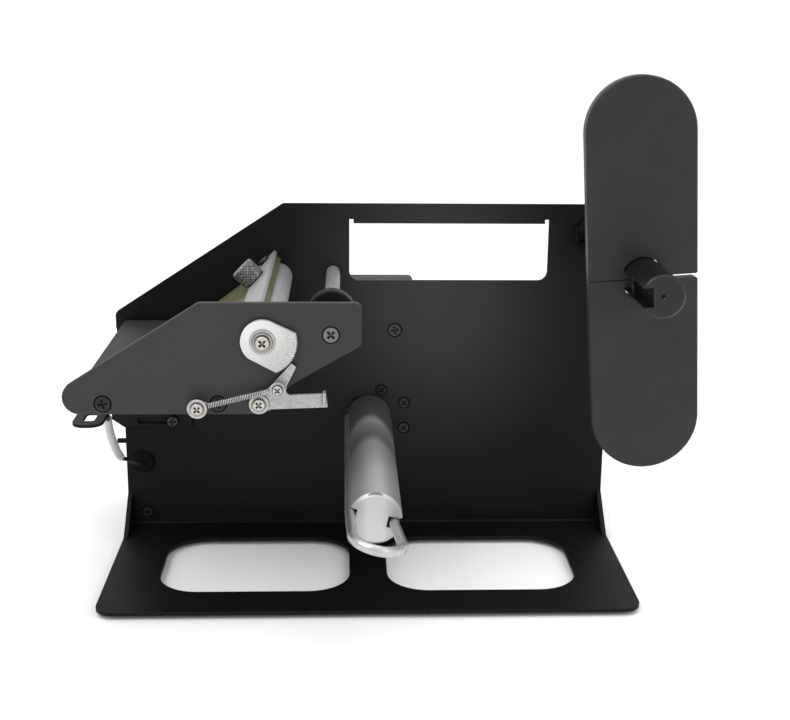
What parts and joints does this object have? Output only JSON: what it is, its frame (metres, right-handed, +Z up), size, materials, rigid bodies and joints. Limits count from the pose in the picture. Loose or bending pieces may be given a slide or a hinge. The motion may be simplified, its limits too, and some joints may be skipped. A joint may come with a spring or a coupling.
{
  "type": "label dispenser",
  "caption": "Motorised label dispenser: bent sheet stand, peel table with brake blade and ratchet, driven waste spindle with wire bail, roll spindle with sliding flange.",
  "frame": {"origin": "middle of the base, on the plane that the feet stand on", "axes": "+X to the right seen from the working side, +Y away from the working side towards the back plate, +Z up"},
  "size_m": [0.3109, 0.2795, 0.2774],
  "materials": {
    "black_sheet": "fine satin powder coat",
    "front_paint": "fine satin powder coat",
    "cover_paint": "fine satin powder coat",
    "rubber": "matt",
    "table_metal": "black anodised",
    "steel": "bright zinc",
    "black_steel": "blackened",
    "bright_rod": "ground",
    "collar_black": "satin",
    "aluminium": "satin",
    "blade_rubber": "translucent polyurethane",
    "bush_bronze": "plain",
    "pawl_steel": "ground",
    "spring_steel": "drawn wire",
    "black_plastic": "fine grain",
    "marker_white": "satin, left blank",
    "cable_black": "satin jacket",
    "motor_steel": "plated",
    "board_green": "solder mask",
    "spindle_black": "black anodised",
    "flange_black": "fine machined"
  },
  "bodies": {
    "frame": {"frame_sheet": "black_sheet", "corner_gussets": "black_sheet", "rubber_feet": "rubber", "front_plate": "front_paint", "peel_table": "table_metal", "table_screws": "black_steel", "rod_screws": "black_steel", "guide_rod": "bright_rod", "bar_bushes": "bush_bronze", "pivot_washer": "steel", "pawl_pivot_screw": "steel", "spring_anchor_screw": "steel", "extension_spring": "spring_steel", "bracket_screw": "black_steel", "sensor_lead": "cable_black", "marker_tube": "marker_white", "grommet": "rubber", "gearbox": "motor_steel", "motor_can": "motor_steel", "motor_screws": "black_steel", "roll_spindle": "spindle_black", "spindle_block": "black_sheet", "block_grub_screws": "black_steel", "rear_cover": "cover_paint", "cover_back": "cover_paint", "cover_standoffs": "cover_paint", "cover_screws": "black_steel", "control_board": "board_green", "board_screws": "steel", "switch_housing": "black_plastic", "potentiometer": "motor_steel", "dc_jack": "black_plastic"},
    "collar": {"guide_collar": "collar_black", "collar_screw": "black_steel"},
    "brake": {"brake_bar": "aluminium", "brake_blade": "blade_rubber", "clamp_plate": "aluminium", "clamp_screws": "black_steel", "bar_end_screw": "black_steel", "ratchet_cam": "pawl_steel", "cam_washer": "steel", "cam_screw": "steel"},
    "thumb": {"thumb_screw": "aluminium"},
    "pawl": {"pawl_lever": "pawl_steel", "pawl_hook_screw": "steel"},
    "sensor": {"sensor_bracket": "black_sheet", "label_sensor": "black_plastic", "sensor_screws": "black_steel"},
    "waste": {"waste_spindle": "aluminium", "spindle_grub_screw": "black_steel", "output_shaft": "bright_rod"},
    "bail": {"wire_bail": "bright_rod"},
    "flange": {"supply_flange": "flange_black"},
    "rocker": {"switch_rocker": "black_plastic"},
    "knob": {"speed_knob": "black_plastic", "knob_shaft": "bright_rod"}
  },
  "joints": [
    {"name": "brake_turn", "type": "hinge", "parent": "frame", "child": "brake", "pos_m": [-0.0511, -0.0146, 0.1563], "axis": [0, 1, 0], "range_deg": [0, 40]},
    {"name": "thumb_turn", "type": "hinge", "parent": "brake", "child": "thumb", "pos_m": [-0.06128, 0.0124, 0.16379], "axis": [-0.7071, 0, 0.7071], "continuous": true},
    {"name": "pawl_release", "type": "hinge", "parent": "frame", "child": "pawl", "pos_m": [-0.0532, -0.09135, 0.1262], "axis": [0, 1, 0], "range_deg": [0, 12], "stiffness_Nm_per_rad": 0.05, "springref_deg": -14.32, "deforming": ["extension_spring"]},
    {"name": "sensor_slide", "type": "slide", "parent": "frame", "child": "sensor", "axis": [1, 0, 0], "range_m": [0, 0.016], "deforming": ["sensor_lead", "marker_tube"]},
    {"name": "collar_slide", "type": "slide", "parent": "frame", "child": "collar", "axis": [0, -1, 0], "range_m": [-0.0975, 0.0385]},
    {"name": "waste_spin", "type": "hinge", "parent": "frame", "child": "waste", "pos_m": [0.0014, -0.0196, 0.0723], "axis": [0, 1, 0], "continuous": true},
    {"name": "bail_slide", "type": "slide", "parent": "waste", "child": "bail", "axis": [0, -1, 0], "range_m": [0, 0.14]},
    {"name": "flange_slide", "type": "slide", "parent": "frame", "child": "flange", "axis": [0, -1, 0], "range_m": [-0.115, 0.036]},
    {"name": "rocker_tilt", "type": "hinge", "parent": "frame", "child": "rocker", "pos_m": [-0.03, 0.1224, 0.1125], "axis": [1, 0, 0], "range_deg": [-16, 0]},
    {"name": "knob_turn", "type": "hinge", "parent": "frame", "child": "knob", "pos_m": [-0.068, 0.1284, 0.1125], "axis": [0, 1, 0], "range_deg": [-150, 150]}
  ]
}
